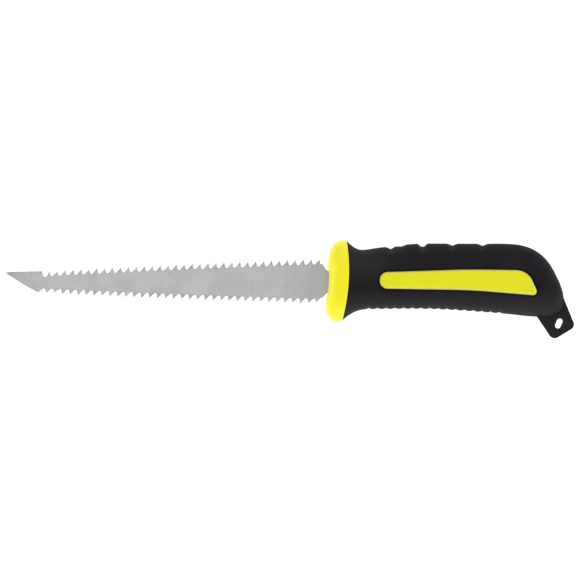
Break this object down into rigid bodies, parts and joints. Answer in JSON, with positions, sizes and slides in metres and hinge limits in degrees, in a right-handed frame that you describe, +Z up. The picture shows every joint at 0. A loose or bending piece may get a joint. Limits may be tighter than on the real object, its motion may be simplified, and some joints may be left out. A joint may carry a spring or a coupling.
{
  "type": "drywall saw",
  "caption": "Double-edged drywall jab saw: a tapered toothed blade with a piercing point, a flared guard, a soft ribbed pistol-butt grip with side inlays, and a hanging lug.",
  "frame": {"origin": "on the floor under the middle of the saw's box, as the saw lies on its right-hand side", "axes": "+X from the blade's point to the butt, +Y from the ribbed underside of the grip to its back, +Z up from the right-hand inlay to the left-hand one"},
  "size_m": [0.3, 0.0518, 0.028],
  "materials": {
    "blade_steel": "matt ground carbon steel with a fine lengthwise grain",
    "yellow_plastic": "fluorescent yellow moulded plastic, satin to gloss",
    "black_plastic": "hard black moulded plastic, matt",
    "black_rubber": "soft black thermoplastic rubber, matt, finely textured",
    "rivet_steel": "plain zinc-plated steel"
  },
  "bodies": {
    "root": {"blade": "blade_steel", "ferrule": "yellow_plastic", "core_left": "black_plastic", "core_right": "black_plastic", "tang_rivets": "rivet_steel", "grip_sleeve": "black_rubber", "inlay_left": "yellow_plastic", "inlay_right": "yellow_plastic"}
  },
  "joints": []
}
